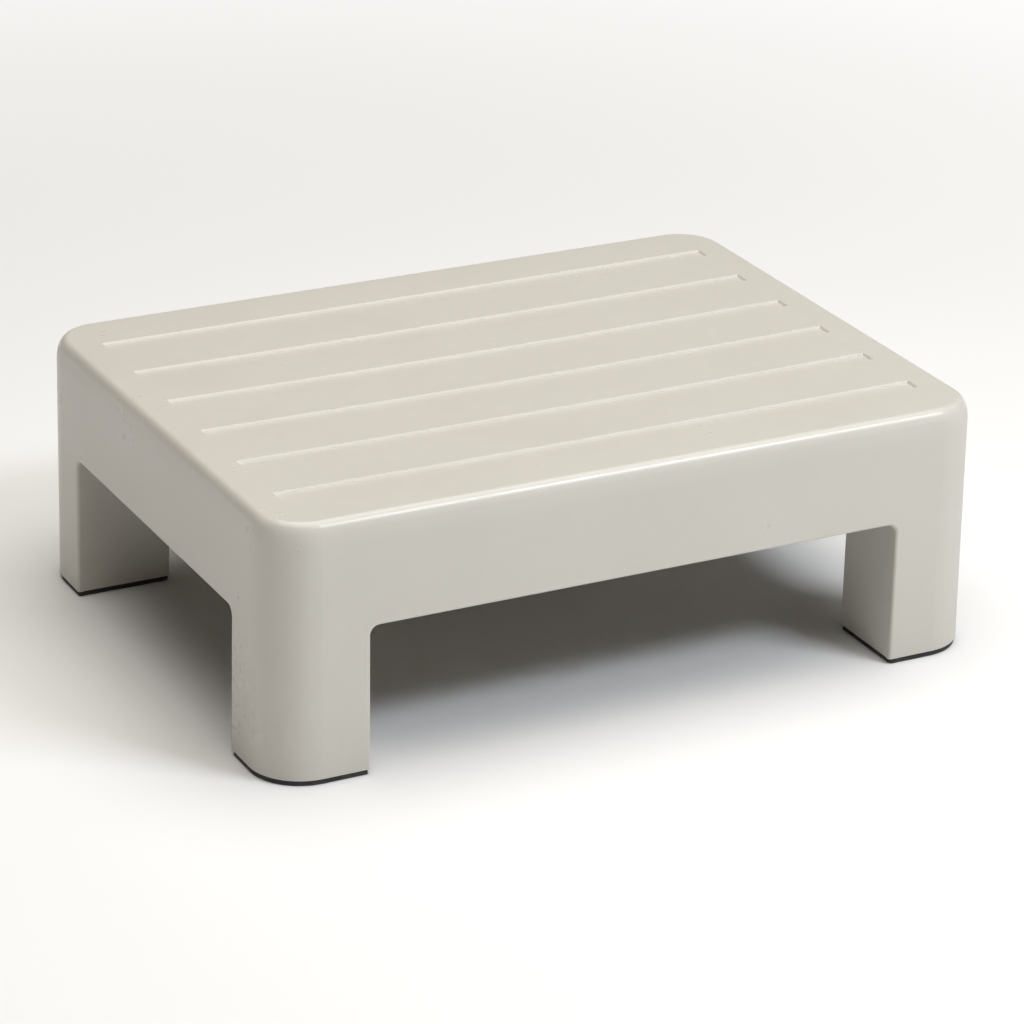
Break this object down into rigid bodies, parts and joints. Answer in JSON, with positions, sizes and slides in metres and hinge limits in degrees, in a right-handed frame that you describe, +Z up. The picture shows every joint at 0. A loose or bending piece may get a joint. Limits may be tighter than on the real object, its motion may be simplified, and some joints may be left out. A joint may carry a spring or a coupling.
{
  "type": "shower stool",
  "caption": "Low moulded plastic shower stool: dished, grooved oblong deck, deep aprons, hollow corner legs on black rubber foot pads.",
  "frame": {"origin": "on the floor, under the middle of the stool", "axes": "+X along the deck grooves (the long side), +Y towards the rear, +Z up"},
  "size_m": [0.4028, 0.3028, 0.137],
  "materials": {
    "stool_plastic": "satin, finely grained",
    "pad_rubber": "matte"
  },
  "bodies": {
    "root": {"stool_body": "stool_plastic", "foot_pad_front_left": "pad_rubber", "foot_pad_front_right": "pad_rubber", "foot_pad_rear_left": "pad_rubber", "foot_pad_rear_right": "pad_rubber"}
  },
  "joints": []
}
